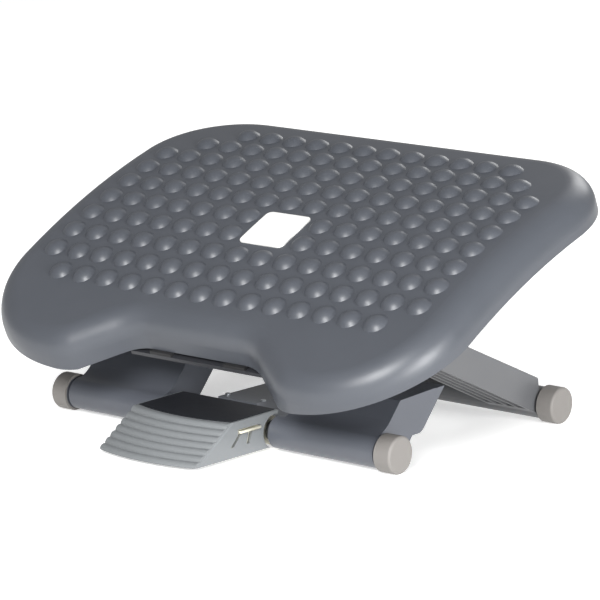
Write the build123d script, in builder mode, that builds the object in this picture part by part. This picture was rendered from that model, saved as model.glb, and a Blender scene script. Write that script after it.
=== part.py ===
# Ergonomic footrest with a tilting platform, crossed legs and a pedal latch.
# Sizes are in millimetres. X runs to the right, Y to the rear, Z up from the floor.
from math import atan2, cos, hypot, pi, radians, sin, tan
import os

from build123d import *

os.makedirs("parts", exist_ok=True)

# Platform
deck_tilt = 22.8
deck_mid_y = 13.7
deck_mid_z = 170.5
deck_half_width = 226.5
deck_rear = 153.0
deck_lobe = 185.0
deck_recess = 146.0
lobe_width = 114.5
recess_run = 52.0
rear_corner = 84.0
lobe_flat = 20.5
recess_round = 40.0
crown_radius = 704.0
skirt_depth = 29.0
deck_wall = 3.0
deck_roll = 22.0
corner_lift = 6.5
lift_inner = 2.5
bump_pitch = 25.0
bump_base = 20.5
bump_height = 5.0
bump_root = 1.5
bump_edge = 38.0
bump_cuts = [2, 0, 0, 0, 0, 0, 0, 0, 2, 4]
badge_width = 45.0
badge_depth = 44.0
badge_round = 5.0
badge_thick = 1.4
badge_sink = 0.6
badge_fit = 0.1
badge_s = -25.0
rib_thick = 3.0
rib_depth = 6.0
rib_step_x = 58.0
rib_step_s = 62.0

# Pivots, in the platform's own frame: s runs rearward, n is up from its middle
tilt_n = -20.0
rear_hinge_s = -82.4
rear_hinge_n = -41.0
front_hinge_s = 60.0
front_hinge_n = -48.0
rod_radius = 4.0
run_fit = 0.05
press_fit = 0.01
side_gap = 0.4

# Under frame
frame_gap = 8.0
frame_wall = 6.0
frame_boss = 9.0
frame_floor_thick = 3.0
lip_over = 0.0
lip_ahead = 3.0
lip_depth = 9.0
lip_height = 3.2
pad_thick = 2.8
frame_neck = 8.0
floor_start = -60.0
pad_width = 22.0
pad_in = 32.0
pad_gap = 0.3
clip_thick = 1.5
clip_radius = 7.5
rod_end = 1.5

# Tilt bearings
bearing_in = 13.0
bearing_half = 7.0
bearing_boss = 9.0
flange_half_s = 21.0
flange_half_x = 10.0
flange_thick = 4.0
deck_pad = 4.0
deck_pad_rim = 1.5
bearing_screw_s = 15.0
screw_radius = 1.4
screw_head = 3.0
screw_head_thick = 2.0
screw_bite = 5.0
screw_clear = 0.15

# Feet
cap_radius = 15.1
cap_flat = 0.35
cap_outer = 176.0
cap_length = 15.5
cap_wall = 5.5
cap_edge = 2.2
groove_width = 2.5
groove_depth = 2.6
front_foot_y = -70.4
rear_foot_y = 142.0
nose_radius = 13.1
tube_radius = 8.0
tube_wall = 1.6
tube_end_gap = 1.5
nose_gap = 4.0
rear_nose_in = 29.0

# Front leg
pod_set = 8.0
pod_gap = 4.5
front_arm_gap = 9.0
front_arm_width = 24.0
leg_slope = 48.0
leg_depth = 32.0
heel_reach = 51.4
heel_z = 20.0
heel_round = 10.0
pod_start_y = 3.0
pod_start_z = 12.0
pod_rise = 32.0
neck_round = 30.0
pod_edge = 2.0
shoulder_rise = 2.0
arm_tip = 11.0
leg_wall = 3.0
pod_rib = 3.0

# Rear leg
rear_gap = 2.5
rear_width = 47.0
rear_rib = 3.0
rear_rib_count = 5
rear_skin = 3.0
arm_up = 16.4
arm_short = 17.5
arm_corner = 4.0
arm_down = 10.5
hinge_up = 14.0
brace_near = 42.0
brace_width = 18.0
brace_thick = 8.0
knuckle_keep = 18.0

# Hinge bushes, spacers and nuts
bush_radius = 6.5
nut_thick = 2.0
nut_radius = 7.0
spacer_radius = 6.5

# Strut, rack and latch housing
strut_half = 15.5
strut_bottom = 7.0
strut_height = 8.5
strut_front = 30.0
strut_skin = 3.0
collar_half = 26.0
collar_radius = 12.8
rack_thick = 2.0
rack_half = 9.0
rack_length = 66.0
rack_set = 1.0
rack_pitch = 7.0
rack_slot = 3.6
rack_slot_half = 6.0
rack_count = 8
rack_first = 6.2
rack_screw_x = 5.0
rack_screw_in = 4.0
housing_wall = 3.5
strut_side_gap = 1.2
strut_low_gap = 1.2
housing_start = 14.0
housing_back = 100.0
housing_top = 27.6
cover_thick = 2.0
ring_radius = 13.0
ring_inner = 11.5
cover_screw_in = 10.0
cover_screw_bite = 8.0

# Pedal, with places along Y measured forward from the front foot tube
pedal_half = 50.0
pedal_toe = 94.4
pedal_toe_z = 2.3
pedal_bow = 8.0
pedal_corner = 5.0
pedal_crest = 51.5
pedal_crest_z = 30.3
pedal_heel = -4.4
pedal_heel_z = 31.0
pedal_wall = 2.6
pedal_notch = 13.5
face_ribs = 7
face_rib_proud = 1.5
face_rib_half = 3.4
face_rib_side = 0.6
face_rib_low = 0.3
inlay_thick = 1.4
inlay_sink = 0.8
inlay_side = 2.5
inlay_end = 1.5
inlay_fit = 0.1
tab_front = 43.0
tab_back = 18.0
tab_low = 20.6
tab_out = 1.8
slot_gap = 1.0
slot_leg = 4.0
slot_lean = 10.0
slot_mid = 31.0
slot_mid_lean = 3.0
slot_bottom = 10.5
stirrup_thick = 2.0
stirrup_gap = 0.3
stirrup_ear = 11.5
stirrup_front = 56.0
stirrup_low = 8.0
plate_front = 42.0
plate_back = 15.0
plate_lap = 1.0
latch_half = 9.0
latch_z = 23.2
latch_drop = 2.6
latch_step = 15.0
latch_reach = 82.0
tooth_length = 3.0
tooth_gap = 0.4
pedal_boss = 4.0
pedal_screw_x = 28.0
pedal_screw_y = 30.0
pedal_screw_bite = 3.0
spring_wire = 0.7
spring_gap = 0.4
spring_turns = 8.0
spring_end_gap = 0.3

# Derived places
foot_z = cap_radius - cap_flat
tilt_cos = cos(radians(deck_tilt))
tilt_sin = sin(radians(deck_tilt))
deck_mid = (0, deck_mid_y, deck_mid_z)
deck_plan = Plane(origin=deck_mid, x_dir=(1, 0, 0), z_dir=(0, -tilt_sin, tilt_cos))
deck_side = Plane(origin=deck_mid, x_dir=(0, tilt_cos, tilt_sin), z_dir=(1, 0, 0))
deck_low = deck_plan.offset(-deck_half_width)
deck_left = deck_side.offset(-deck_half_width)
deck_reach = 2 * deck_half_width
inner_crown = crown_radius - deck_wall
skirt_crown = crown_radius - skirt_depth
pad_crown = inner_crown - deck_pad
flange_crown = pad_crown - flange_thick
nose_out = cap_outer - cap_wall
cap_inner = cap_outer - cap_length
front_nose_in = pedal_half + nose_gap
pod_in = front_nose_in + pod_set
pod_out = cap_inner - pod_gap
rear_out = cap_inner - rear_gap
rear_in = rear_out - rear_width
front_out = rear_in - front_arm_gap
front_in = front_out - front_arm_width
frame_out = front_in - frame_gap
frame_inner = frame_out - frame_wall
lip_half = frame_out + lip_over
pad_x = frame_out - pad_in
bearing_x = frame_inner - bearing_in
lobe_start = deck_half_width - lobe_width
front_corner = lobe_width - lobe_flat
recess_half = lobe_start - recess_run
bump_columns = int(2 * (deck_half_width - bump_edge) / bump_pitch + 1)


def deck_yz(s, n):
    # a point of the platform's frame as Y and Z of the part
    return (deck_mid_y + s * tilt_cos - n * tilt_sin, deck_mid_z + s * tilt_sin + n * tilt_cos)


def crown_n(s, radius):
    # height of a crowned surface at s; all of them share one centre line
    return (radius * radius - s * s) ** 0.5 - crown_radius


def along(point, direction, amount):
    return (point[0] + direction[0] * amount, point[1] + direction[1] * amount)


def rounded_path(corners):
    # closed path through corners given as x, y and rounding radius
    count = len(corners)
    ends = []
    for i in range(count):
        x, y, r = corners[i]
        before = corners[i - 1]
        after = corners[(i + 1) % count]
        a = atan2(before[1] - y, before[0] - x)
        b = atan2(after[1] - y, after[0] - x)
        half = abs((b - a + pi) % (2 * pi) - pi) / 2
        back = r / tan(half)
        reach = r / sin(half) - r
        mid = atan2(sin(a) + sin(b), cos(a) + cos(b))
        start = (x + back * cos(a), y + back * sin(a))
        end = (x + back * cos(b), y + back * sin(b))
        ends.append((start, (x + reach * cos(mid), y + reach * sin(mid)), end))
    for i in range(count):
        ThreePointArc(ends[i][0], ends[i][1], ends[i][2])
        Line(ends[i][2], ends[(i + 1) % count][0])


def crown_band(outer, inner):
    # side view of the layer between two crowned surfaces, above their centre line
    with Locations((0, -crown_radius)):
        Circle(outer)
        Circle(inner, mode=Mode.SUBTRACT)
    with Locations((0, -2 * crown_radius)):
        Rectangle(4 * crown_radius, 2 * crown_radius, mode=Mode.SUBTRACT)


deck_corners = [
    (deck_half_width, deck_rear, rear_corner),
    (deck_half_width, -deck_lobe, front_corner),
    (lobe_start, -deck_lobe, recess_round),
    (recess_half, -deck_recess, recess_round),
    (-recess_half, -deck_recess, recess_round),
    (-lobe_start, -deck_lobe, recess_round),
    (-deck_half_width, -deck_lobe, front_corner),
    (-deck_half_width, deck_rear, rear_corner),
]
rear_hinge = deck_yz(rear_hinge_s, rear_hinge_n)
front_hinge = deck_yz(front_hinge_s, front_hinge_n)
tilt_pivot = deck_yz(0, tilt_n)
front_foot = (front_foot_y, foot_z)
rear_foot = (rear_foot_y, foot_z)

# Hollow of the platform shell
with BuildPart() as deck_hollow:
    with BuildSketch(deck_low):
        with BuildLine():
            rounded_path(deck_corners)
        make_face()
        offset(amount=-deck_wall, kind=Kind.ARC, mode=Mode.REPLACE)
    extrude(amount=deck_reach)
    with BuildSketch(deck_left):
        crown_band(inner_crown, inner_crown - 3 * skirt_depth)
    extrude(amount=deck_reach, mode=Mode.INTERSECT)
    hollow_top = faces().sort_by(Axis(deck_mid, deck_plan.z_dir))[-1]
    fillet(hollow_top.edges(), deck_roll - deck_wall)

# Ribs and bearing pads under the platform
with BuildPart() as deck_ribs:
    with BuildSketch(deck_low):
        with BuildLine():
            rounded_path(deck_corners)
        make_face()
        offset(amount=-deck_roll, kind=Kind.ARC, mode=Mode.REPLACE)
        with BuildSketch(mode=Mode.INTERSECT):
            with GridLocations(rib_step_x, 0, 7, 1):
                Rectangle(rib_thick, deck_reach)
            with GridLocations(0, rib_step_s, 1, 5):
                Rectangle(deck_reach, rib_thick)
    extrude(amount=deck_reach)
    with BuildSketch(deck_left):
        crown_band(inner_crown + deck_wall / 2, inner_crown - rib_depth)
    extrude(amount=deck_reach, mode=Mode.INTERSECT)

with BuildPart() as deck_pads:
    with BuildSketch(deck_low):
        with Locations((bearing_x, 0), (-bearing_x, 0)):
            Rectangle(2 * (flange_half_x + deck_pad_rim), 2 * (flange_half_s + deck_pad_rim))
    extrude(amount=deck_reach)
    with BuildSketch(deck_left):
        crown_band(inner_crown + deck_wall / 2, pad_crown)
    extrude(amount=deck_reach, mode=Mode.INTERSECT)

# Room under the ribs for the bearing flanges
with BuildPart() as pad_room:
    with BuildSketch(deck_low):
        with Locations((bearing_x, 0), (-bearing_x, 0)):
            Rectangle(2 * (flange_half_x + deck_pad_rim), 2 * (flange_half_s + deck_pad_rim))
    extrude(amount=deck_reach)
    with BuildSketch(deck_left):
        crown_band(pad_crown, inner_crown - 3 * skirt_depth)
    extrude(amount=deck_reach, mode=Mode.INTERSECT)

# Shallow seat for the badge
with BuildPart() as badge_seat:
    with BuildSketch(deck_low):
        with Locations((0, badge_s)):
            RectangleRounded(badge_width, badge_depth, badge_round)
        offset(amount=badge_fit, kind=Kind.ARC, mode=Mode.REPLACE)
    extrude(amount=deck_reach)
    with BuildSketch(deck_left):
        crown_band(crown_radius + 2 * bump_height, crown_radius - badge_sink)
    extrude(amount=deck_reach, mode=Mode.INTERSECT)

# One domed bump, its base on the XY plane
bump_ball = (bump_base * bump_base / 4 + bump_height * bump_height) / (2 * bump_height)
bump_angle = atan2(bump_base / 2, bump_ball - bump_height) / 2
with BuildPart() as bump:
    with BuildSketch(Plane.XZ):
        with BuildLine():
            Line((0, -bump_root), (bump_base / 2, -bump_root))
            Line((bump_base / 2, -bump_root), (bump_base / 2, 0))
            bump_mid = (bump_ball * sin(bump_angle), bump_height - bump_ball + bump_ball * cos(bump_angle))
            ThreePointArc((bump_base / 2, 0), bump_mid, (0, bump_height))
            Line((0, bump_height), (0, -bump_root))
        make_face()
    revolve(axis=Axis.Z)

bump_places = []
for row, cut in enumerate(bump_cuts):
    filled = bump_columns - cut
    arc = (row - (len(bump_cuts) - 1) / 2) * bump_pitch
    turn = arc / crown_radius
    y, z = deck_yz(crown_radius * sin(turn), crown_radius * (cos(turn) - 1))
    lean = turn - radians(deck_tilt)
    for column in range(filled):
        x = (column - (filled - 1) / 2) * bump_pitch
        near_badge = abs(x) < badge_width / 2 + bump_base / 2 and abs(arc - badge_s) < badge_depth / 2
        if not near_badge:
            bump_plane = Plane(origin=(x, y, z), x_dir=(1, 0, 0), z_dir=(0, sin(lean), cos(lean)))
            bump_places.append(Location(bump_plane))

# The skirt's lower edge rises round the two front corners
corner_in = front_corner * (1 - 0.5**0.5)
lift_side = deck_lobe - front_corner
lift_mid = deck_lobe - corner_in
low_side = Vector(deck_half_width, *deck_yz(-lift_side, crown_n(lift_side, skirt_crown)))
low_mid = Vector(
    deck_half_width - corner_in, *deck_yz(-lift_mid, crown_n(lift_mid, skirt_crown) + corner_lift)
)
low_front = Vector(lobe_start, *deck_yz(-deck_lobe, crown_n(deck_lobe, skirt_crown) + lift_inner))
lift_plane = Plane(
    origin=low_side, x_dir=low_front - low_side, z_dir=(low_side - low_mid).cross(low_front - low_mid)
)
lift_end = Plane(origin=(0, *deck_yz(-lift_side / 2, 0)), x_dir=(1, 0, 0), z_dir=(0, tilt_cos, tilt_sin))
with BuildPart() as corner_cut:
    with BuildSketch(lift_plane):
        Rectangle(4 * deck_reach, 4 * deck_reach)
    extrude(amount=-deck_reach)
    split(bisect_by=lift_end, keep=Keep.BOTTOM)
    split(bisect_by=Plane.YZ, keep=Keep.TOP)
    mirror(about=Plane.YZ)

with BuildPart() as platform_shell:
    with BuildSketch(deck_low):
        with BuildLine():
            rounded_path(deck_corners)
        make_face()
    extrude(amount=deck_reach)
    with BuildSketch(deck_left):
        crown_band(crown_radius, skirt_crown)
    extrude(amount=deck_reach, mode=Mode.INTERSECT)
    deck_top = faces().sort_by(Axis(deck_mid, deck_plan.z_dir))[-1]
    fillet(deck_top.edges(), deck_roll)
    add(deck_hollow.part, mode=Mode.SUBTRACT)
    add(deck_ribs.part)
    add(deck_pads.part)
    add(pad_room.part, mode=Mode.SUBTRACT)
    with Locations(*bump_places):
        add(bump.part)
    add(badge_seat.part, mode=Mode.SUBTRACT)
    add(corner_cut.part, mode=Mode.SUBTRACT)
    screw_top = crown_n(bearing_screw_s, pad_crown) + screw_bite
    with BuildSketch(deck_plan.offset(screw_top)):
        for side in (-1, 1):
            with Locations((side * bearing_x, bearing_screw_s), (side * bearing_x, -bearing_screw_s)):
                Circle(screw_radius)
    extrude(amount=-2 * screw_bite, mode=Mode.SUBTRACT)
platform_shell.part.label = "platform_shell"
export_step(platform_shell.part, "parts/platform_shell.step")

with BuildPart() as badge_plate:
    with BuildSketch(deck_low):
        with Locations((0, badge_s)):
            RectangleRounded(badge_width, badge_depth, badge_round)
    extrude(amount=deck_reach)
    with BuildSketch(deck_left):
        crown_band(crown_radius - badge_sink + badge_thick, crown_radius - badge_sink)
    extrude(amount=deck_reach, mode=Mode.INTERSECT)
badge_plate.part.label = "badge_plate"
export_step(badge_plate.part, "parts/badge_plate.step")

# Tilt bearings under the platform
with BuildPart() as tilt_bearing_right:
    with BuildSketch(deck_side.offset(bearing_x - bearing_half)):
        with Locations((0, tilt_n / 2)):
            Rectangle(2 * bearing_boss, -tilt_n)
    extrude(amount=2 * bearing_half)
    with BuildSketch(deck_side.offset(bearing_x - flange_half_x)):
        with Locations((0, -crown_radius)):
            Circle(pad_crown)
            Circle(flange_crown, mode=Mode.SUBTRACT)
        Rectangle(2 * flange_half_s, 2 * crown_radius, mode=Mode.INTERSECT)
        with Locations((0, -crown_radius)):
            Rectangle(crown_radius, crown_radius, mode=Mode.SUBTRACT)
    extrude(amount=2 * flange_half_x)
    with BuildSketch(deck_left):
        with Locations((0, -crown_radius)):
            Circle(pad_crown)
    extrude(amount=deck_reach, mode=Mode.INTERSECT)
    with BuildSketch(deck_side.offset(bearing_x - bearing_half)):
        with Locations((0, tilt_n)):
            Circle(bearing_boss)
    extrude(amount=frame_inner - side_gap - bearing_x + bearing_half)
    with BuildSketch(deck_side):
        with Locations((0, tilt_n)):
            Circle(rod_radius + run_fit)
    extrude(amount=deck_reach, mode=Mode.SUBTRACT)
    with BuildSketch(deck_plan):
        with Locations((bearing_x, bearing_screw_s), (bearing_x, -bearing_screw_s)):
            Circle(screw_radius + screw_clear)
    extrude(amount=2 * tilt_n, mode=Mode.SUBTRACT)
tilt_bearing_right.part.label = "tilt_bearing_right"
export_step(tilt_bearing_right.part, "parts/tilt_bearing_right.step")

with BuildPart() as tilt_bearing_left:
    mirror(tilt_bearing_right.part, about=Plane.YZ)
tilt_bearing_left.part.label = "tilt_bearing_left"
export_step(tilt_bearing_left.part, "parts/tilt_bearing_left.step")

with BuildPart() as bearing_screws:
    head_top = crown_n(bearing_screw_s + screw_head, flange_crown)
    with BuildSketch(deck_plan.offset(head_top)):
        for side in (-1, 1):
            with Locations((side * bearing_x, bearing_screw_s), (side * bearing_x, -bearing_screw_s)):
                Circle(screw_head)
    extrude(amount=-screw_head_thick)
    with BuildSketch(deck_plan.offset(head_top)):
        for side in (-1, 1):
            with Locations((side * bearing_x, bearing_screw_s), (side * bearing_x, -bearing_screw_s)):
                Circle(screw_radius)
    extrude(amount=screw_top - head_top)
bearing_screws.part.label = "bearing_screws"
export_step(bearing_screws.part, "parts/bearing_screws.step")

# Under frame, the root that carries the tilt axle and both leg rods
frame_low = front_hinge_n - frame_boss
lip_s = -deck_recess - lip_ahead
pad_top = crown_n(deck_recess, skirt_crown) - pad_gap
lip_top = pad_top - pad_thick
lip_low = lip_top - lip_height
with BuildPart() as under_frame:
    with BuildSketch(deck_side.offset(frame_inner)):
        Polygon(
            (lip_s, lip_low),
            (lip_s, lip_top),
            (rear_hinge_s, rear_hinge_n + frame_boss),
            (0, tilt_n + frame_boss),
            (front_hinge_s, front_hinge_n + frame_boss),
            (front_hinge_s, frame_low),
            (floor_start, frame_low),
            (rear_hinge_s, rear_hinge_n - frame_neck),
            align=None,
        )
        with Locations((0, tilt_n), (front_hinge_s, front_hinge_n)):
            Circle(frame_boss)
    extrude(amount=frame_wall)
    mirror(about=Plane.YZ)
    with BuildSketch(deck_side.offset(-frame_inner)):
        with Locations((floor_start, frame_low)):
            Rectangle(front_hinge_s - floor_start, frame_floor_thick, align=Align.MIN)
    extrude(amount=2 * frame_inner)
    with BuildSketch(deck_side.offset(-lip_half)):
        with Locations((lip_s, lip_low)):
            Rectangle(lip_depth, lip_height, align=Align.MIN)
    extrude(amount=2 * lip_half)
    with BuildSketch(deck_left):
        with Locations((rear_hinge_s, rear_hinge_n), (0, tilt_n), (front_hinge_s, front_hinge_n)):
            Circle(rod_radius + press_fit)
    extrude(amount=deck_reach, mode=Mode.SUBTRACT)
under_frame.part.label = "under_frame"
export_step(under_frame.part, "parts/under_frame.step")

with BuildPart() as tilt_axle:
    axle_half = frame_out + side_gap + clip_thick + rod_end
    with BuildSketch(deck_side.offset(-axle_half)):
        with Locations((0, tilt_n)):
            Circle(rod_radius)
    extrude(amount=2 * axle_half)
tilt_axle.part.label = "tilt_axle"
export_step(tilt_axle.part, "parts/tilt_axle.step")

with BuildPart() as axle_clips:
    with BuildSketch(deck_side.offset(frame_out + side_gap)):
        with Locations((0, tilt_n)):
            Circle(clip_radius)
            Circle(rod_radius + press_fit, mode=Mode.SUBTRACT)
    extrude(amount=clip_thick)
    mirror(about=Plane.YZ)
axle_clips.part.label = "axle_clips"
export_step(axle_clips.part, "parts/axle_clips.step")

with BuildPart() as stop_pads:
    with BuildSketch(deck_plan.offset(lip_top)):
        with Locations((pad_x, lip_s + lip_depth / 2), (-pad_x, lip_s + lip_depth / 2)):
            Rectangle(pad_width, lip_depth)
    extrude(amount=pad_top - lip_top)
stop_pads.part.label = "stop_pads"
export_step(stop_pads.part, "parts/stop_pads.step")

# Leg rods with their spacers and nuts
with BuildPart() as front_leg_rod:
    front_rod_half = front_out + side_gap + nut_thick + rod_end
    with BuildSketch(Plane.YZ.offset(-front_rod_half)):
        with Locations(front_hinge):
            Circle(rod_radius)
    extrude(amount=2 * front_rod_half)
front_leg_rod.part.label = "front_leg_rod"
export_step(front_leg_rod.part, "parts/front_leg_rod.step")

with BuildPart() as rear_leg_rod:
    rear_rod_half = rear_out + side_gap + nut_thick + rod_end
    with BuildSketch(Plane.YZ.offset(-rear_rod_half)):
        with Locations(rear_hinge):
            Circle(rod_radius)
    extrude(amount=2 * rear_rod_half)
rear_leg_rod.part.label = "rear_leg_rod"
export_step(rear_leg_rod.part, "parts/rear_leg_rod.step")

with BuildPart() as rod_nuts:
    with BuildSketch(Plane.YZ.offset(front_out + side_gap)):
        with Locations(front_hinge):
            Circle(nut_radius)
            Circle(rod_radius + press_fit, mode=Mode.SUBTRACT)
    extrude(amount=nut_thick)
    with BuildSketch(Plane.YZ.offset(rear_out + side_gap)):
        with Locations(rear_hinge):
            Circle(nut_radius)
            Circle(rod_radius + press_fit, mode=Mode.SUBTRACT)
    extrude(amount=nut_thick)
    mirror(about=Plane.YZ)
rod_nuts.part.label = "rod_nuts"
export_step(rod_nuts.part, "parts/rod_nuts.step")

with BuildPart() as hinge_spacers:
    with BuildSketch(Plane.YZ.offset(frame_out)):
        with Locations(front_hinge):
            Circle(spacer_radius)
            Circle(rod_radius + press_fit, mode=Mode.SUBTRACT)
    extrude(amount=front_in - side_gap - frame_out)
    with BuildSketch(Plane.YZ.offset(frame_out)):
        with Locations(rear_hinge):
            Circle(spacer_radius)
            Circle(rod_radius + press_fit, mode=Mode.SUBTRACT)
    extrude(amount=rear_in - side_gap - frame_out)
    mirror(about=Plane.YZ)
hinge_spacers.part.label = "hinge_spacers"
export_step(hinge_spacers.part, "parts/hinge_spacers.step")

with BuildPart() as front_hinge_bushes:
    with BuildSketch(Plane.YZ.offset(front_in)):
        with Locations(front_hinge):
            Circle(bush_radius)
            Circle(rod_radius + run_fit, mode=Mode.SUBTRACT)
    extrude(amount=front_arm_width)
    mirror(about=Plane.YZ)
front_hinge_bushes.part.label = "front_hinge_bushes"
export_step(front_hinge_bushes.part, "parts/front_hinge_bushes.step")

with BuildPart() as rear_hinge_bushes:
    with BuildSketch(Plane.YZ.offset(rear_in)):
        with Locations(rear_hinge):
            Circle(bush_radius)
            Circle(rod_radius + run_fit, mode=Mode.SUBTRACT)
    extrude(amount=rear_out - rear_in)
    mirror(about=Plane.YZ)
rear_hinge_bushes.part.label = "rear_hinge_bushes"
export_step(rear_hinge_bushes.part, "parts/rear_hinge_bushes.step")

# Front leg: nose round the foot tube, slanted pods, arms up to the front hinge
up = (cos(radians(leg_slope)), sin(radians(leg_slope)))
back = (sin(radians(leg_slope)), -cos(radians(leg_slope)))
pod_front = (front_foot_y + pod_start_y, foot_z + pod_start_z)
pod_crest = along(pod_front, up, pod_rise)
pod_heel = along(pod_front, back, leg_depth)
pod_shoulder = along(pod_heel, up, (pod_crest[1] + shoulder_rise - pod_heel[1]) / up[1])
arm_foot_front = along(pod_front, up, pod_rise / 2)
arm_foot_back = along(pod_heel, up, pod_rise)
arm_foot = ((arm_foot_front[0] + arm_foot_back[0]) / 2, (arm_foot_front[1] + arm_foot_back[1]) / 2)
arm_length = hypot(front_hinge[0] - arm_foot[0], front_hinge[1] - arm_foot[1])
arm_up_dir = ((front_hinge[0] - arm_foot[0]) / arm_length, (front_hinge[1] - arm_foot[1]) / arm_length)
arm_back_dir = (arm_up_dir[1], -arm_up_dir[0])
arm_top_front = along(front_hinge, arm_back_dir, -arm_tip)
arm_top_back = along(front_hinge, arm_back_dir, arm_tip)
heel_low = (front_foot_y + heel_reach, heel_z)
heel_shoulder = along(heel_low, up, (pod_shoulder[1] - heel_z) / up[1])
heel_in = (pod_in + pod_out - pod_rib) / 2
heel_bay = heel_in + pod_rib
with BuildPart() as front_leg:
    with BuildSketch(Plane.YZ.offset(pod_in)):
        Polygon(
            (front_foot_y, foot_z - nose_radius),
            pod_heel,
            pod_shoulder,
            pod_crest,
            pod_front,
            front_foot,
            align=None,
        )
        with Locations(front_foot):
            Circle(nose_radius)
        fillet(vertices().sort_by_distance(pod_front)[0], neck_round)
        fillet(vertices().sort_by_distance(pod_crest)[0], pod_edge)
    extrude(amount=pod_out - pod_in)
    with BuildSketch(Plane.YZ.offset(heel_in)):
        Polygon(
            (front_foot_y, heel_z),
            heel_low,
            heel_shoulder,
            pod_crest,
            pod_front,
            align=None,
        )
        fillet(vertices().sort_by_distance(heel_low)[0], heel_round)
        fillet(vertices().sort_by_distance(pod_crest)[0], pod_edge)
    extrude(amount=pod_out - heel_in)
    pocket_front = along(along(pod_front, back, leg_wall), up, leg_wall)
    pocket_crest = along(along(pod_crest, back, leg_wall), up, -2 * leg_wall)
    bays = [(pod_in + leg_wall, heel_in, pod_shoulder), (heel_bay, pod_out - leg_wall, heel_shoulder)]
    for bay_in, bay_out, bay_back in bays:
        with BuildSketch(Plane.YZ.offset(bay_in)):
            Polygon(
                (pocket_front[0], foot_z - 2 * nose_radius),
                pocket_front,
                pocket_crest,
                (bay_back[0] - 2 * leg_wall, bay_back[1] - leg_wall),
                (bay_back[0] + leg_depth, bay_back[1] - leg_depth),
                (bay_back[0], foot_z - 2 * nose_radius),
                align=None,
            )
        extrude(amount=bay_out - bay_in, mode=Mode.SUBTRACT)
    with BuildSketch(Plane.YZ.offset(front_in)):
        Polygon(arm_foot_front, arm_top_front, arm_top_back, arm_foot_back, align=None)
        with Locations(front_hinge):
            Circle(arm_tip)
    extrude(amount=front_arm_width)
    arm_pocket_top = along(front_hinge, arm_up_dir, -knuckle_keep)
    with BuildSketch(Plane.YZ.offset(front_in + leg_wall)):
        Polygon(
            along(arm_foot_front, arm_back_dir, leg_wall + arm_tip / 2),
            along(arm_pocket_top, arm_back_dir, leg_wall - arm_tip),
            along(arm_pocket_top, arm_back_dir, 2 * arm_tip),
            along(arm_foot_back, arm_back_dir, arm_tip),
            align=None,
        )
    extrude(amount=front_arm_width - 2 * leg_wall, mode=Mode.SUBTRACT)
    with BuildSketch(Plane.YZ.offset(front_nose_in)):
        with Locations(front_foot):
            Circle(nose_radius)
    extrude(amount=nose_out - front_nose_in)
    with BuildSketch(Plane.YZ.offset(cap_inner - groove_width)):
        with Locations(front_foot):
            Circle(nose_radius + groove_depth)
            Circle(nose_radius - groove_depth, mode=Mode.SUBTRACT)
    extrude(amount=groove_width, mode=Mode.SUBTRACT)
    with BuildSketch(Plane.YZ):
        with Locations(front_foot):
            Circle(tube_radius + press_fit)
    extrude(amount=deck_reach, mode=Mode.SUBTRACT)
    with BuildSketch(Plane.YZ):
        with Locations(front_hinge):
            Circle(bush_radius)
    extrude(amount=deck_reach, mode=Mode.SUBTRACT)
    mirror(about=Plane.YZ)
front_leg.part.label = "front_leg"
export_step(front_leg.part, "parts/front_leg.step")

# Rear leg: tube sleeve and ribbed arms up to the rear hinge
rear_length = hypot(rear_hinge[0] - rear_foot[0], rear_hinge[1] - rear_foot[1])
rear_dir = ((rear_hinge[0] - rear_foot[0]) / rear_length, (rear_hinge[1] - rear_foot[1]) / rear_length)
rear_up = (rear_dir[1], -rear_dir[0])
rear_pocket_foot = along(rear_foot, rear_dir, knuckle_keep)
rear_pocket_top = along(rear_hinge, rear_dir, -knuckle_keep)
rear_rib_step = (rear_out - rear_in - rear_rib) / (rear_rib_count - 1)
with BuildPart() as rear_leg:
    arm_end = along(along(rear_foot, rear_up, arm_up), rear_dir, arm_short)
    with BuildSketch(Plane.YZ.offset(rear_in)):
        Polygon(
            arm_end,
            along(rear_hinge, rear_up, hinge_up),
            along(rear_hinge, rear_up, -arm_tip),
            along(rear_foot, rear_up, -arm_down),
            align=None,
        )
        with Locations(rear_hinge):
            Circle(arm_tip)
        fillet(vertices().sort_by_distance(arm_end)[0], arm_corner)
    extrude(amount=rear_out - rear_in)
    for bay in range(rear_rib_count - 1):
        with BuildSketch(Plane.YZ.offset(rear_in + bay * rear_rib_step + rear_rib)):
            Polygon(
                along(rear_pocket_foot, rear_up, arm_up - rear_skin),
                along(rear_pocket_top, rear_up, hinge_up - rear_skin),
                along(rear_pocket_top, rear_up, -2 * arm_tip),
                along(rear_pocket_foot, rear_up, -2 * arm_down),
                align=None,
            )
        extrude(amount=rear_rib_step - rear_rib, mode=Mode.SUBTRACT)
    with BuildSketch(Plane.YZ.offset(rear_nose_in)):
        with Locations(rear_foot):
            Circle(nose_radius)
    extrude(amount=nose_out - rear_nose_in)
    brace_foot = along(rear_foot, rear_dir, brace_near)
    brace_end = along(brace_foot, rear_dir, brace_width)
    with BuildSketch(Plane.YZ):
        Polygon(
            along(brace_foot, rear_up, arm_tip),
            along(brace_end, rear_up, arm_tip),
            along(brace_end, rear_up, arm_tip - brace_thick),
            along(brace_foot, rear_up, arm_tip - brace_thick),
            align=None,
        )
    extrude(amount=rear_in + rear_rib)
    with BuildSketch(Plane.YZ.offset(cap_inner - groove_width)):
        with Locations(rear_foot):
            Circle(nose_radius + groove_depth)
            Circle(nose_radius - groove_depth, mode=Mode.SUBTRACT)
    extrude(amount=groove_width, mode=Mode.SUBTRACT)
    with BuildSketch(Plane.YZ):
        with Locations(rear_foot):
            Circle(tube_radius + press_fit)
    extrude(amount=deck_reach, mode=Mode.SUBTRACT)
    with BuildSketch(Plane.YZ):
        with Locations(rear_hinge):
            Circle(bush_radius)
    extrude(amount=deck_reach, mode=Mode.SUBTRACT)
    mirror(about=Plane.YZ)
rear_leg.part.label = "rear_leg"
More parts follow.
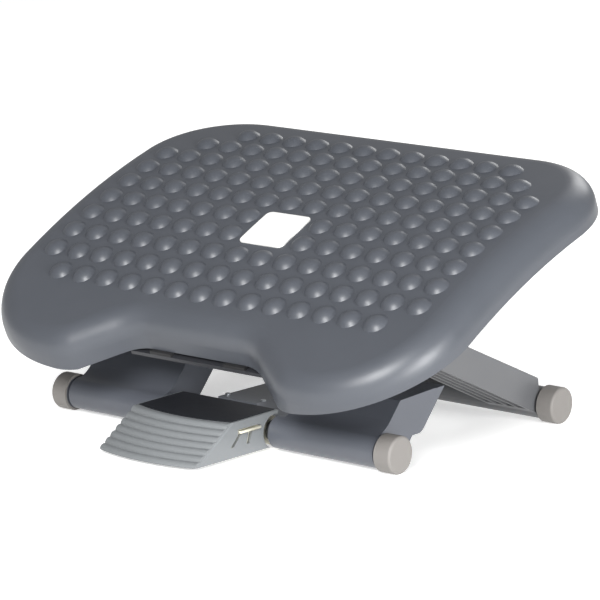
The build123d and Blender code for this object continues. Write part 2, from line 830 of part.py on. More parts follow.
export_step(rear_leg.part, "parts/rear_leg.step")

# Foot tubes and end caps
tube_half = nose_out - tube_end_gap
with BuildPart() as front_foot_tube:
    with BuildSketch(Plane.YZ.offset(-tube_half)):
        with Locations(front_foot):
            Circle(tube_radius)
            Circle(tube_radius - tube_wall, mode=Mode.SUBTRACT)
    extrude(amount=2 * tube_half)
front_foot_tube.part.label = "front_foot_tube"
export_step(front_foot_tube.part, "parts/front_foot_tube.step")

with BuildPart() as rear_foot_tube:
    with BuildSketch(Plane.YZ.offset(-tube_half)):
        with Locations(rear_foot):
            Circle(tube_radius)
            Circle(tube_radius - tube_wall, mode=Mode.SUBTRACT)
    extrude(amount=2 * tube_half)
rear_foot_tube.part.label = "rear_foot_tube"
export_step(rear_foot_tube.part, "parts/rear_foot_tube.step")

with BuildPart() as front_cap_right:
    with BuildSketch(Plane.YZ.offset(cap_inner)):
        with Locations(front_foot):
            Circle(cap_radius)
    extrude(amount=cap_outer - cap_inner)
    cap_face = faces().sort_by(Axis.X)[-1]
    fillet(cap_face.edges(), cap_edge)
    with BuildSketch(Plane.YZ.offset(cap_inner)):
        with Locations(front_foot):
            Circle(nose_radius + press_fit)
    extrude(amount=nose_out - cap_inner, mode=Mode.SUBTRACT)
    with BuildSketch(Plane.XY):
        with Locations(((cap_inner + cap_outer) / 2, front_foot_y)):
            Rectangle(2 * cap_outer, 4 * cap_radius)
    extrude(amount=-cap_radius, mode=Mode.SUBTRACT)
front_cap_right.part.label = "front_cap_right"
export_step(front_cap_right.part, "parts/front_cap_right.step")

with BuildPart() as front_cap_left:
    mirror(front_cap_right.part, about=Plane.YZ)
front_cap_left.part.label = "front_cap_left"
export_step(front_cap_left.part, "parts/front_cap_left.step")

with BuildPart() as rear_cap_right:
    with Locations((0, rear_foot_y - front_foot_y, 0)):
        add(front_cap_right.part)
rear_cap_right.part.label = "rear_cap_right"
export_step(rear_cap_right.part, "parts/rear_cap_right.step")

with BuildPart() as rear_cap_left:
    mirror(rear_cap_right.part, about=Plane.YZ)
rear_cap_left.part.label = "rear_cap_left"
export_step(rear_cap_left.part, "parts/rear_cap_left.step")

# Rack strut, hinged on the rear foot tube
strut_top = strut_bottom + strut_height
strut_start = front_foot_y + strut_front
with BuildPart() as rack_strut:
    with BuildSketch(Plane.YZ.offset(-strut_half)):
        with Locations((strut_start, strut_bottom)):
            Rectangle(rear_foot_y - strut_start, strut_height, align=Align.MIN)
    extrude(amount=2 * strut_half)
    with BuildSketch(Plane.YZ.offset(-strut_half + strut_skin)):
        with Locations((strut_start + strut_skin, strut_bottom)):
            trough = rear_foot_y - strut_start - 2 * collar_radius
            Rectangle(trough, strut_height - strut_skin, align=Align.MIN)
    extrude(amount=2 * (strut_half - strut_skin), mode=Mode.SUBTRACT)
    with BuildSketch(Plane.YZ.offset(-collar_half)):
        with Locations(rear_foot):
            Circle(collar_radius)
    extrude(amount=2 * collar_half)
    with BuildSketch(Plane.YZ.offset(-collar_half)):
        with Locations(rear_foot):
            Circle(tube_radius + run_fit)
    extrude(amount=2 * collar_half, mode=Mode.SUBTRACT)
    rack_start = strut_start + rack_set
    screw_y = rack_start + rack_length - rack_screw_in
    with BuildSketch(Plane.XY.offset(strut_top)):
        with Locations((rack_screw_x, screw_y), (-rack_screw_x, screw_y)):
            Circle(screw_radius)
    extrude(amount=-strut_skin, mode=Mode.SUBTRACT)
rack_strut.part.label = "rack_strut"
export_step(rack_strut.part, "parts/rack_strut.step")

rack_top = strut_top + rack_thick
with BuildPart() as rack_plate:
    with BuildSketch(Plane.XY.offset(strut_top)):
        with Locations((0, rack_start + rack_length / 2)):
            Rectangle(2 * rack_half, rack_length)
        for notch in range(rack_count):
            with Locations((0, rack_start + rack_first + notch * rack_pitch)):
                Rectangle(2 * rack_slot_half, rack_slot, mode=Mode.SUBTRACT)
        with Locations((rack_screw_x, screw_y), (-rack_screw_x, screw_y)):
            Circle(screw_radius + screw_clear, mode=Mode.SUBTRACT)
    extrude(amount=rack_thick)
rack_plate.part.label = "rack_plate"
export_step(rack_plate.part, "parts/rack_plate.step")

with BuildPart() as rack_screws:
    with BuildSketch(Plane.XY.offset(rack_top)):
        with Locations((rack_screw_x, screw_y), (-rack_screw_x, screw_y)):
            Circle(screw_head)
    extrude(amount=screw_head_thick / 2)
    with BuildSketch(Plane.XY.offset(rack_top)):
        with Locations((rack_screw_x, screw_y), (-rack_screw_x, screw_y)):
            Circle(screw_radius)
    extrude(amount=-rack_thick - strut_skin)
rack_screws.part.label = "rack_screws"
export_step(rack_screws.part, "parts/rack_screws.step")

# Latch housing, hinged on the front foot tube, with the strut sliding inside
housing_inner = strut_half + strut_side_gap
housing_half = housing_inner + housing_wall
housing_floor = strut_bottom - strut_low_gap
housing_low = housing_floor - housing_wall
housing_end = front_foot_y + housing_back
cover_front = front_foot_y + housing_start
cover_screw_x = housing_half - housing_wall / 2
with BuildPart() as latch_housing:
    with BuildSketch(Plane.YZ.offset(housing_inner)):
        with Locations((front_foot_y, housing_low)):
            Rectangle(housing_back, housing_top - housing_low, align=Align.MIN)
        with Locations(front_foot):
            Circle(ring_radius)
    extrude(amount=housing_wall)
    with BuildSketch(Plane.YZ.offset(ring_inner)):
        with Locations(front_foot):
            Circle(ring_radius)
    extrude(amount=housing_inner - ring_inner)
    mirror(about=Plane.YZ)
    with BuildSketch(Plane.YZ.offset(-housing_inner)):
        with Locations((cover_front, housing_low)):
            Rectangle(housing_back - housing_start, housing_wall, align=Align.MIN)
    extrude(amount=2 * housing_inner)
    with BuildSketch(Plane.YZ.offset(-housing_half)):
        with Locations(front_foot):
            Circle(tube_radius + run_fit)
    extrude(amount=2 * housing_half, mode=Mode.SUBTRACT)
    with BuildSketch(Plane.XY.offset(housing_top)):
        for side in (-1, 1):
            with Locations((side * cover_screw_x, cover_front + cover_screw_in)):
                Circle(screw_radius)
            with Locations((side * cover_screw_x, housing_end - cover_screw_in)):
                Circle(screw_radius)
    extrude(amount=-cover_screw_bite, mode=Mode.SUBTRACT)
latch_housing.part.label = "latch_housing"
export_step(latch_housing.part, "parts/latch_housing.step")

with BuildPart() as housing_cover:
    with BuildSketch(Plane.XY.offset(housing_top)):
        with Locations((0, (cover_front + housing_end) / 2)):
            Rectangle(2 * housing_half, housing_end - cover_front)
        for side in (-1, 1):
            with Locations((side * cover_screw_x, cover_front + cover_screw_in)):
                Circle(screw_radius + screw_clear, mode=Mode.SUBTRACT)
            with Locations((side * cover_screw_x, housing_end - cover_screw_in)):
                Circle(screw_radius + screw_clear, mode=Mode.SUBTRACT)
    extrude(amount=cover_thick)
housing_cover.part.label = "housing_cover"
export_step(housing_cover.part, "parts/housing_cover.step")

with BuildPart() as cover_screws:
    cover_head_z = housing_top + cover_thick
    with BuildSketch(Plane.XY.offset(cover_head_z)):
        for side in (-1, 1):
            with Locations((side * cover_screw_x, cover_front + cover_screw_in)):
                Circle(screw_head / 2 + screw_radius / 2)
            with Locations((side * cover_screw_x, housing_end - cover_screw_in)):
                Circle(screw_head / 2 + screw_radius / 2)
    extrude(amount=screw_head_thick / 2)
    with BuildSketch(Plane.XY.offset(cover_head_z)):
        for side in (-1, 1):
            with Locations((side * cover_screw_x, cover_front + cover_screw_in)):
                Circle(screw_radius)
            with Locations((side * cover_screw_x, housing_end - cover_screw_in)):
                Circle(screw_radius)
    extrude(amount=-cover_thick - cover_screw_bite)
cover_screws.part.label = "cover_screws"
export_step(cover_screws.part, "parts/cover_screws.step")

# Pedal, hinged on the front foot tube
toe = (front_foot_y - pedal_toe, pedal_toe_z)
crest = (front_foot_y - pedal_crest, pedal_crest_z)
heel = (front_foot_y - pedal_heel, pedal_heel_z)
face_length = hypot(crest[0] - toe[0], crest[1] - toe[1])
face_dir = ((crest[0] - toe[0]) / face_length, (crest[1] - toe[1]) / face_length)
face_way = (0, face_dir[0], face_dir[1])
face_in = (face_dir[1], -face_dir[0])
face_run = face_dir[0] / face_dir[1]
face_sine = face_dir[1]
top_length = hypot(heel[0] - crest[0], heel[1] - crest[1])
top_dir = ((heel[0] - crest[0]) / top_length, (heel[1] - crest[1]) / top_length)
top_out = (-top_dir[1], top_dir[0])
top_front = along(crest, top_dir, -pedal_toe)
hollow_front = along(top_front, top_out, -pedal_wall)
hollow_heel = along(along(heel, top_out, -pedal_wall), top_dir, pedal_wall)
hollow_z = pedal_toe_z - pedal_wall
inlay_front = crest[0] + inlay_end
inlay_back = heel[0] - inlay_end
inlay_half = pedal_half - inlay_side
plate_z = latch_z + stirrup_thick
screw_spots = [(side * pedal_screw_x, front_foot_y - pedal_screw_y) for side in (-1, 1)]
boss_z = crest[1] + (pedal_crest - pedal_screw_y) * top_dir[1] / top_dir[0] - pedal_wall / 2


def bowed_path(front, half, rear):
    # closed top view with a bowed front edge and straight sides
    ThreePointArc((-half, front), (0, front - pedal_bow), (half, front))
    Polyline((half, front), (half, rear), (-half, rear), (-half, front))


with BuildPart() as pedal_hollow:
    with BuildSketch(Plane.XY.offset(hollow_z)):
        hollow_start = toe[0] + pedal_wall / face_sine - pedal_wall * face_run
        with BuildLine():
            bowed_path(hollow_start, pedal_half - pedal_wall, front_foot_y + pedal_toe)
        make_face()
    extrude(amount=2 * face_length, dir=face_way)
    with BuildSketch(Plane.YZ.offset(-pedal_half)):
        Polygon((top_front[0], hollow_z), hollow_front, hollow_heel, (hollow_heel[0], hollow_z), align=None)
    extrude(amount=2 * pedal_half, mode=Mode.INTERSECT)

with BuildPart() as inlay_seat:
    with BuildSketch(Plane.XY):
        with BuildLine():
            bowed_path(inlay_front - inlay_fit, inlay_half + inlay_fit, inlay_back + inlay_fit)
        make_face()
    extrude(amount=2 * pedal_heel_z)
    with BuildSketch(Plane.YZ.offset(-pedal_half)):
        Polygon(
            along(top_front, top_out, -inlay_sink),
            along(heel, top_out, -inlay_sink),
            along(heel, top_out, inlay_thick),
            along(top_front, top_out, inlay_thick),
            align=None,
        )
    extrude(amount=2 * pedal_half, mode=Mode.INTERSECT)

# Rounded ribs across the pedal's face
rib_ball = (face_rib_half * face_rib_half + face_rib_proud * face_rib_proud) / (2 * face_rib_proud)
with BuildPart() as pedal_ribs:
    for rib in range(face_ribs):
        rib_up = (rib + 0.5) * face_length / face_ribs
        rib_y, rib_z = along(along(toe, face_dir, rib_up), face_in, rib_ball - face_rib_proud)
        with BuildLine() as rib_line:
            rib_mid = (0, rib_y - pedal_bow, rib_z)
            ThreePointArc((-pedal_half, rib_y, rib_z), rib_mid, (pedal_half, rib_y, rib_z))
        with BuildSketch(Plane(origin=rib_line.line @ 0, z_dir=rib_line.line % 0)):
            Circle(rib_ball)
        sweep()
    with BuildSketch(Plane.XY.offset(pedal_toe_z + face_rib_low)):
        with Locations((0, front_foot_y)):
            Rectangle(2 * (pedal_half - face_rib_side), 4 * pedal_toe)
    extrude(amount=2 * pedal_heel_z, mode=Mode.INTERSECT)

with BuildPart() as pedal:
    with BuildSketch(Plane.XY.offset(pedal_toe_z)):
        with BuildLine():
            bowed_path(toe[0], pedal_half, front_foot_y + pedal_toe)
        make_face()
        fillet(vertices().group_by(Axis.Y)[0], pedal_corner)
    extrude(amount=2 * face_length, dir=face_way)
    with BuildSketch(Plane.YZ.offset(-pedal_half)):
        Polygon((top_front[0], pedal_toe_z), top_front, heel, (heel[0], pedal_toe_z), align=None)
        with Locations(front_foot):
            Circle(pedal_notch, mode=Mode.SUBTRACT)
    extrude(amount=2 * pedal_half, mode=Mode.INTERSECT)
    add(pedal_ribs.part)
    add(pedal_hollow.part, mode=Mode.SUBTRACT)
    add(inlay_seat.part, mode=Mode.SUBTRACT)
    with BuildSketch(Plane.XY.offset(plate_z)):
        with Locations(*screw_spots):
            Circle(pedal_boss)
    extrude(amount=boss_z - plate_z)
    with BuildSketch(Plane.XY.offset(plate_z)):
        with Locations(*screw_spots):
            Circle(screw_radius)
    extrude(amount=pedal_screw_bite, mode=Mode.SUBTRACT)
    with BuildSketch(Plane.YZ.offset(-pedal_half)):
        with Locations((front_foot_y - tab_front - slot_gap, tab_low - slot_gap)):
            Rectangle(tab_front - tab_back + 2 * slot_gap, stirrup_thick + 2 * slot_gap, align=Align.MIN)
        for leg, lean in ((tab_front, slot_lean), (slot_mid, slot_mid_lean)):
            leg_top = front_foot_y - leg
            Polygon(
                (leg_top, tab_low),
                (leg_top + slot_leg, tab_low),
                (leg_top + slot_leg - lean, slot_bottom),
                (leg_top - lean, slot_bottom),
                align=None,
            )
    extrude(amount=2 * pedal_half, mode=Mode.SUBTRACT)
pedal.part.label = "pedal"
export_step(pedal.part, "parts/pedal.step")

with BuildPart() as pedal_inlay:
    with BuildSketch(Plane.XY):
        with BuildLine():
            bowed_path(inlay_front, inlay_half, inlay_back)
        make_face()
    extrude(amount=2 * pedal_heel_z)
    with BuildSketch(Plane.YZ.offset(-pedal_half)):
        Polygon(
            along(top_front, top_out, -inlay_sink),
            along(heel, top_out, -inlay_sink),
            along(heel, top_out, inlay_thick - inlay_sink),
            along(top_front, top_out, inlay_thick - inlay_sink),
            align=None,
        )
    extrude(amount=2 * pedal_half, mode=Mode.INTERSECT)
pedal_inlay.part.label = "pedal_inlay"
export_step(pedal_inlay.part, "parts/pedal_inlay.step")

# Steel stirrup of the pedal, with the latch tongue over the rack
ear_out = pedal_half - pedal_wall - stirrup_gap
ear_in = ear_out - stirrup_thick
tongue_z = latch_z - latch_drop
tooth_tip = rack_top + tooth_gap
latch_end = front_foot_y + latch_reach
with BuildPart() as latch_stirrup:
    with BuildSketch(Plane.YZ.offset(ear_in)):
        Polygon(
            (front_foot_y, stirrup_low),
            (front_foot_y - stirrup_front, stirrup_low),
            (front_foot_y - stirrup_front, (stirrup_low + plate_z) / 2),
            (front_foot_y - plate_front, plate_z),
            (front_foot_y, plate_z),
            align=None,
        )
        with Locations(front_foot):
            Circle(stirrup_ear)
    extrude(amount=stirrup_thick)
    with BuildSketch(Plane.XY.offset(tab_low)):
        with Locations((ear_in, front_foot_y - tab_front)):
            Rectangle(pedal_half + tab_out - ear_in, tab_front - tab_back, align=Align.MIN)
    extrude(amount=stirrup_thick)
    mirror(about=Plane.YZ)
    with BuildSketch(Plane.YZ.offset(-ear_out)):
        with Locations((front_foot_y - plate_front, latch_z)):
            Rectangle(plate_front - plate_back, stirrup_thick, align=Align.MIN)
    extrude(amount=2 * ear_out)
    with BuildSketch(Plane.YZ.offset(-latch_half)):
        with Locations((front_foot_y - plate_back - plate_lap, latch_z)):
            Rectangle(plate_lap + plate_back + latch_step + stirrup_thick, stirrup_thick, align=Align.MIN)
        with Locations((front_foot_y + latch_step, tongue_z)):
            Rectangle(stirrup_thick, plate_z - tongue_z, align=Align.MIN)
        with Locations((front_foot_y + latch_step, tongue_z)):
            Rectangle(latch_reach - latch_step, stirrup_thick, align=Align.MIN)
        with Locations((latch_end - tooth_length, tooth_tip)):
            Rectangle(tooth_length, tongue_z - tooth_tip + stirrup_thick / 2, align=Align.MIN)
    extrude(amount=2 * latch_half)
    with BuildSketch(Plane.YZ.offset(-pedal_half)):
        with Locations(front_foot):
            Circle(tube_radius + run_fit)
    extrude(amount=2 * pedal_half, mode=Mode.SUBTRACT)
    with BuildSketch(Plane.XY.offset(plate_z)):
        with Locations(*screw_spots):
            Circle(screw_radius + screw_clear)
    extrude(amount=-2 * stirrup_thick, mode=Mode.SUBTRACT)
latch_stirrup.part.label = "latch_stirrup"
export_step(latch_stirrup.part, "parts/latch_stirrup.step")

with BuildPart() as pedal_screws:
    with BuildSketch(Plane.XY.offset(latch_z)):
        with Locations(*screw_spots):
            Circle(screw_head)
    extrude(amount=-screw_head_thick)
    with BuildSketch(Plane.XY.offset(latch_z)):
        with Locations(*screw_spots):
            Circle(screw_radius)
    extrude(amount=stirrup_thick + pedal_screw_bite)
pedal_screws.part.label = "pedal_screws"
export_step(pedal_screws.part, "parts/pedal_screws.step")

# Return spring, wound on the front foot tube between the housing and the stirrup
coil_radius = tube_radius + spring_gap + spring_wire
coil_start = housing_half + spring_end_gap + spring_wire
coil_length = ear_in - spring_end_gap - spring_wire - coil_start
coil_pitch = coil_length / spring_turns
with BuildPart() as pedal_spring:
    with BuildLine() as coil:
        coil_centre = (coil_start, front_foot_y, foot_z)
        Helix(coil_pitch, coil_length, coil_radius, center=coil_centre, direction=(1, 0, 0))
    with BuildSketch(Plane(origin=coil.line @ 0, z_dir=coil.line % 0)):
        Circle(spring_wire)
    sweep()
pedal_spring.part.label = "pedal_spring"
export_step(pedal_spring.part, "parts/pedal_spring.step")
print("least gap between turns of the spring", round(coil_pitch - 2 * spring_wire, 2))
print("pivots", front_hinge, rear_hinge, tilt_pivot, front_foot, rear_foot)
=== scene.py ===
from math import radians

import bpy
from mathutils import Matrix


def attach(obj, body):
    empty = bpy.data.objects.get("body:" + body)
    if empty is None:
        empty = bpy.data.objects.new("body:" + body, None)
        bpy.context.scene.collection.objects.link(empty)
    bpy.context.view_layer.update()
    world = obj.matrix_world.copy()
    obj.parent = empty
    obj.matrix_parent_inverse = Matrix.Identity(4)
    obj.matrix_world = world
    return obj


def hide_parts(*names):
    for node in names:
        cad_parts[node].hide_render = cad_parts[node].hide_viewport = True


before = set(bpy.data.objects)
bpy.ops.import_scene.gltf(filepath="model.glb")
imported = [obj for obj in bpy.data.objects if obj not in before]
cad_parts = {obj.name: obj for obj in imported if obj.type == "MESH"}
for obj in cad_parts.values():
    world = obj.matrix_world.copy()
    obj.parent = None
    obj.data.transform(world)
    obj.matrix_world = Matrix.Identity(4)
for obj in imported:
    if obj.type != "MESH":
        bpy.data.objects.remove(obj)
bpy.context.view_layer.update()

# Platform: one injection moulded polypropylene shell, crowned from front to back, with domed bumps.
# The mould was spark eroded, so the skin is satin with a fine grain and a soft sheen on the rolled edge.
platform_shade = "#3e4147"
platform_cloud = "#43464c"


def linear(code):
    # an sRGB hex colour as the linear one that the shaders use
    parts = [int(code[i : i + 2], 16) / 255 for i in (1, 3, 5)]
    return [p / 12.92 if p <= 0.04045 else ((p + 0.055) / 1.055) ** 2.4 for p in parts] + [1.0]


def add_node(finish, kind, settings={}, links={}):
    # settings go to the node's sockets or properties, and each link names a node and its output
    node = finish.node_tree.nodes.new(kind)
    for name, value in settings.items():
        if isinstance(name, str) and name not in node.inputs:
            setattr(node, name, value)
    for name, value in settings.items():
        if not isinstance(name, str) or name in node.inputs:
            node.inputs[name].default_value = value
    for name, (source, output) in links.items():
        finish.node_tree.links.new(source.outputs[output], node.inputs[name])
    return node


def new_finish(name):
    # an empty material
    finish = bpy.data.materials.new(name)
    finish.use_nodes = True
    finish.node_tree.nodes.clear()
    return finish


def moulded_plastic(name, shade, cloud, roughness, grain_mm, grain_deep_mm):
    # clouds in the pigment, a gloss that drifts over the skin, and the mould's grain as relief
    cloud_mm = 45
    drift_mm = 18
    gloss_spread = 0.05
    finish = new_finish(name)
    spot = add_node(finish, "ShaderNodeTexCoord")
    pigment = add_node(
        finish, "ShaderNodeTexNoise", {"Scale": 1000 / cloud_mm, "Detail": 3.0}, {"Vector": (spot, "Object")}
    )
    colour = add_node(
        finish,
        "ShaderNodeMix",
        {"data_type": "RGBA", 6: linear(shade), 7: linear(cloud)},
        {0: (pigment, "Fac")},
    )
    drift = add_node(
        finish, "ShaderNodeTexNoise", {"Scale": 1000 / drift_mm, "Detail": 2.0}, {"Vector": (spot, "Object")}
    )
    gloss = add_node(
        finish,
        "ShaderNodeMapRange",
        {"To Min": roughness - gloss_spread, "To Max": roughness + gloss_spread},
        {"Value": (drift, "Fac")},
    )
    grain = add_node(
        finish, "ShaderNodeTexNoise", {"Scale": 1000 / grain_mm, "Detail": 2.0}, {"Vector": (spot, "Object")}
    )
    relief = add_node(
        finish,
        "ShaderNodeBump",
        {"Strength": 0.5, "Distance": grain_deep_mm / 1000},
        {"Height": (grain, "Fac")},
    )
    skin = add_node(
        finish,
        "ShaderNodeBsdfPrincipled",
        {"IOR": 1.49},
        {"Base Color": (colour, 2), "Roughness": (gloss, "Result"), "Normal": (relief, "Normal")},
    )
    add_node(finish, "ShaderNodeOutputMaterial", {}, {"Surface": (skin, "BSDF")})
    return finish


def coat(finish, *nodes):
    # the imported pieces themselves, in this finish
    for node in nodes:
        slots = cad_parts[node].data.materials
        slots.clear()
        slots.append(finish)


# Polypropylene from an eroded mould: satin, cool dark grey. The real grain is 0.3 mm, drawn at 0.9 mm.
satin_polypropylene = moulded_plastic(
    "satin_polypropylene", platform_shade, platform_cloud, roughness=0.39, grain_mm=0.9, grain_deep_mm=0.03
)
coat(satin_polypropylene, "platform_shell")

# Badge: a thin plate of white ABS pressed into a seat in the platform, left blank.
# It came from a polished mould, so it is bright and a little glossy.
white_abs = moulded_plastic(
    "polished_white_abs", "#dededc", "#d9d9d7", roughness=0.30, grain_mm=2.5, grain_deep_mm=0.004
)
coat(white_abs, "badge_plate")

# Under frame: glass filled nylon channel that carries the tilt axle and both leg rods.
# The glass shows as a matt dark skin. The tilt bearings screwed under the platform are blacker still.
frame_nylon = moulded_plastic(
    "glass_filled_dark_nylon", "#26272b", "#2b2c30", roughness=0.50, grain_mm=1.1, grain_deep_mm=0.03
)
black_nylon = moulded_plastic(
    "glass_filled_black_nylon", "#141518", "#191a1d", roughness=0.52, grain_mm=1.1, grain_deep_mm=0.03
)
coat(frame_nylon, "under_frame")
coat(black_nylon, "tilt_bearing_right", "tilt_bearing_left")

# Stop pads: two soft rubber strips glued on the frame's front lip, where the platform comes to rest.
# Moulded nitrile, dead matt, with a fine pebble.
pad_rubber = moulded_plastic(
    "pebbled_nitrile", "#141416", "#1a1a1c", roughness=0.72, grain_mm=1.4, grain_deep_mm=0.08
)
coat(pad_rubber, "stop_pads")

# Axle, rods, nuts, clips, spacers, screws and spring: bright zinc plated steel, drawn or turned.
# Drawing leaves fine lines along the rod, here every 0.8 mm so that they show, under a cool bright plate.
steel_colour = "#b4b8bd"
zinc_steel = new_finish("zinc_plated_steel")
steel_spot = add_node(zinc_steel, "ShaderNodeTexCoord")
steel_turn = add_node(
    zinc_steel, "ShaderNodeMapping", {"Scale": (0.04, 1.0, 1.0)}, {"Vector": (steel_spot, "Object")}
)
steel_lines = add_node(
    zinc_steel, "ShaderNodeTexNoise", {"Scale": 1000 / 0.8, "Detail": 2.0}, {"Vector": (steel_turn, "Vector")}
)
steel_gloss = add_node(
    zinc_steel, "ShaderNodeMapRange", {"To Min": 0.24, "To Max": 0.40}, {"Value": (steel_lines, "Fac")}
)
steel_relief = add_node(
    zinc_steel, "ShaderNodeBump", {"Strength": 0.3, "Distance": 0.00002}, {"Height": (steel_lines, "Fac")}
)
steel_skin = add_node(
    zinc_steel,
    "ShaderNodeBsdfPrincipled",
    {"Base Color": linear(steel_colour), "Metallic": 1.0},
    {"Roughness": (steel_gloss, "Result"), "Normal": (steel_relief, "Normal")},
)
add_node(zinc_steel, "ShaderNodeOutputMaterial", {}, {"Surface": (steel_skin, "BSDF")})
coat(
    zinc_steel,
    "tilt_axle",
    "axle_clips",
    "bearing_screws",
    "front_leg_rod",
    "rear_leg_rod",
    "rod_nuts",
    "hinge_spacers",
    "rack_plate",
    "rack_screws",
    "cover_screws",
    "pedal_screws",
    "pedal_spring",
)

# Foot tubes: drawn steel, pressed into the legs with the end caps over them. They are coloured near black as
# painted shade, so that where a tube shows between a leg's nose and its cap, the narrow gap reads dark. The
# bump draws a slight orange peel, about 1.5 mm across.
tube_black_painted_shade = moulded_plastic(
    "painted_shade_tube_black", "#141518", "#18191c", roughness=0.36, grain_mm=1.5, grain_deep_mm=0.03
)
coat(tube_black_painted_shade, "front_foot_tube", "rear_foot_tube")

# Hinge bushes: turned acetal rings pressed into the legs, which run on the two rods.
# Off white and slightly waxy, nearly smooth.
waxy_acetal = moulded_plastic(
    "turned_acetal", "#dcdad2", "#d6d3ca", roughness=0.36, grain_mm=0.8, grain_deep_mm=0.006
)
coat(waxy_acetal, "front_hinge_bushes", "rear_hinge_bushes")

# Front leg: one glass filled nylon moulding, two slanted pods behind a round nose.
# Slate grey, satin, ribbed inside where it doesn't show.
slate_nylon = moulded_plastic(
    "satin_slate_nylon", "#494c53", "#4e5158", roughness=0.40, grain_mm=0.9, grain_deep_mm=0.025
)
coat(slate_nylon, "front_leg")

# Rear leg: ribbed side arms round the rear foot tube, hinged on a rod in the under frame.
# The same nylon in a lighter, plainer grey. Its long edges are rounded, so they catch a line of light.
grey_nylon = moulded_plastic(
    "satin_grey_nylon", "#515255", "#565759", roughness=0.40, grain_mm=0.9, grain_deep_mm=0.025
)


def eased(node, name, body, edge_mm, finish):
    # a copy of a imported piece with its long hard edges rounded, which stands for that piece
    weld = 0.00001
    shortest = 0.006
    flat_turn = radians(1.5)
    hard_turn = radians(35)
    piece = bpy.data.objects.new(name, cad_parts[node].data.copy())
    bpy.context.scene.collection.objects.link(piece)
    bpy.ops.object.select_all(action="DESELECT")
    piece.select_set(True)
    bpy.context.view_layer.objects.active = piece
    bpy.ops.mesh.customdata_custom_splitnormals_clear()
    bpy.ops.object.mode_set(mode="EDIT")
    bpy.ops.mesh.select_mode(type="EDGE")
    bpy.ops.mesh.select_all(action="SELECT")
    bpy.ops.mesh.remove_doubles(threshold=weld)
    bpy.ops.mesh.dissolve_limited(angle_limit=flat_turn)
    bpy.ops.mesh.select_all(action="DESELECT")
    bpy.ops.mesh.edges_select_sharp(sharpness=hard_turn)
    bpy.ops.object.mode_set(mode="OBJECT")
    corners = piece.data.vertices
    for edge in piece.data.edges:
        first, last = edge.vertices
        edge.select = edge.select and (corners[first].co - corners[last].co).length > shortest
    bpy.ops.object.mode_set(mode="EDIT")
    bpy.ops.mesh.bevel(offset=edge_mm / 1000, segments=2, affect="EDGES", clamp_overlap=False)
    bpy.ops.object.mode_set(mode="OBJECT")
    bpy.ops.object.shade_smooth_by_angle(angle=hard_turn)
    piece.data.materials.clear()
    piece.data.materials.append(finish)
    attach(piece, body)
    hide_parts(node)


eased("rear_leg", "rear_leg_moulding", "rear_leg_body", edge_mm=0.6, finish=grey_nylon)

# End caps: four thermoplastic rubber cups pushed over the ends of the legs, with a flat to stand on.
# Warm light grey and matt, with a slight bloom.
grey_rubber = moulded_plastic(
    "bloomed_grey_rubber", "#6c6966", "#726f6c", roughness=0.60, grain_mm=1.2, grain_deep_mm=0.03
)
coat(grey_rubber, "front_cap_right", "front_cap_left", "rear_cap_right", "rear_cap_left")

# Rack strut: a moulded nylon channel hinged on the rear foot tube, which slides in the latch housing.
# Dark grey and satin, a shade lighter where the pigment clouds.
strut_nylon = moulded_plastic(
    "satin_strut_nylon", "#4d5056", "#52555b", roughness=0.44, grain_mm=0.9, grain_deep_mm=0.025
)
eased("rack_strut", "rack_strut_moulding", "strut_body", edge_mm=0.5, finish=strut_nylon)

# Latch housing and its cover: ABS box hinged on the front foot tube, screwed shut over the strut.
# Mid grey with a soft sheen.
housing_abs = moulded_plastic(
    "satin_housing_abs", "#585b61", "#5d6066", roughness=0.40, grain_mm=0.9, grain_deep_mm=0.02
)
coat(housing_abs, "latch_housing", "housing_cover")

# Pedal: ABS moulding with a bowed, ribbed face, screwed on the latch stirrup.
# Light grey and satin, so the ribs catch a thin line of light.
pedal_abs = moulded_plastic(
    "satin_pedal_abs", "#686b6d", "#6d7072", roughness=0.38, grain_mm=0.9, grain_deep_mm=0.02
)
coat(pedal_abs, "pedal")

# Pedal top: a thin pad of dark nitrile bonded into a seat, left blank, with a fine pebble for grip.
inlay_rubber = moulded_plastic(
    "dark_pebbled_nitrile", "#0c0e15", "#10131a", roughness=0.50, grain_mm=1.6, grain_deep_mm=0.06
)
coat(inlay_rubber, "pedal_inlay")

# Latch stirrup: pressed steel plate, screwed under the pedal, which shows through the pedal's slots.
# Its zinc is passivated, so it is pale yellow with faint clouds and a dull metal gloss.
stirrup_colour = "#efead2"
yellow_zinc = new_finish("yellow_passivated_zinc")
zinc_spot = add_node(yellow_zinc, "ShaderNodeTexCoord")
zinc_cloud = add_node(
    yellow_zinc, "ShaderNodeTexNoise", {"Scale": 1000 / 9, "Detail": 4.0}, {"Vector": (zinc_spot, "Object")}
)
zinc_tint = add_node(
    yellow_zinc,
    "ShaderNodeMix",
    {"data_type": "RGBA", 6: linear(stirrup_colour), 7: linear("#f4f2e8")},
    {0: (zinc_cloud, "Fac")},
)
zinc_gloss = add_node(
    yellow_zinc, "ShaderNodeMapRange", {"To Min": 0.50, "To Max": 0.62}, {"Value": (zinc_cloud, "Fac")}
)
zinc_skin = add_node(
    yellow_zinc,
    "ShaderNodeBsdfPrincipled",
    {"Metallic": 1.0},
    {"Base Color": (zinc_tint, 2), "Roughness": (zinc_gloss, "Result")},
)
add_node(yellow_zinc, "ShaderNodeOutputMaterial", {}, {"Surface": (zinc_skin, "BSDF")})
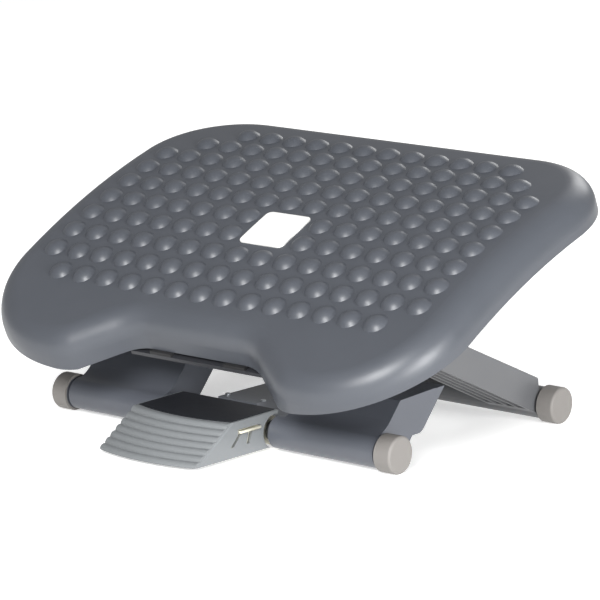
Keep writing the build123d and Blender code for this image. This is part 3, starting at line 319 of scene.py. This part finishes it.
eased("latch_stirrup", "latch_stirrup_plate", "pedal_body", edge_mm=0.3, finish=yellow_zinc)

# Studio: a pale painted floor lit from below, white walls, one large softbox by the camera
# and two more, at the right and behind.
pale_paint = new_finish("pale_matt_paint")
paint_skin = add_node(
    pale_paint,
    "ShaderNodeBsdfPrincipled",
    {
        "Base Color": linear("#f3f3f2"),
        "Roughness": 0.9,
        "Emission Color": linear("#ffffff"),
        "Emission Strength": 0.48,
    },
)
add_node(pale_paint, "ShaderNodeOutputMaterial", {}, {"Surface": (paint_skin, "BSDF")})
bpy.ops.object.select_all(action="DESELECT")
floor_side = 30.0
floor_drop = 0.0004
bpy.ops.mesh.primitive_plane_add(size=floor_side, location=(0.0, 0.0, -floor_drop))
floor = bpy.context.active_object
floor.name = "floor"
floor.data.materials.append(pale_paint)

walls = bpy.data.worlds.new("studio_walls")
walls.use_nodes = True
walls.node_tree.nodes["Background"].inputs["Color"].default_value = linear("#ffffff")
walls.node_tree.nodes["Background"].inputs["Strength"].default_value = 0.4
bpy.context.scene.world = walls
bpy.context.scene.view_settings.view_transform = "Standard"

# each softbox: its name, place, turn, side in metres and power in watts
softboxes = [
    ("camera_softbox", (0.9, -2.1, 1.35), (radians(61), 0.0, radians(23)), 1.0, 84.0),
    ("right_softbox", (2.3, -0.6, 0.5), (radians(81), 0.0, radians(75)), 1.0, 70.0),
    ("rear_softbox", (-0.5, 2.5, 1.4), (radians(63), 0.0, radians(191)), 1.1, 16.0),
]
for name, spot, turn, side, watts in softboxes:
    bpy.ops.object.light_add(type="AREA", location=spot, rotation=turn)
    softbox = bpy.context.active_object
    softbox.name = name
    softbox.data.size = side
    softbox.data.energy = watts

# The camera stands where the photo's did, with a long lens.
camera_place = (1.82889242, -2.2042313, 0.6954945)
camera_turn = (radians(78.28709527), 0.0, radians(39.40343469))
bpy.ops.object.camera_add(location=camera_place, rotation=camera_turn)
camera = bpy.context.active_object
camera.data.sensor_width = 36.0
camera.data.lens = 218.386
bpy.context.scene.camera = camera
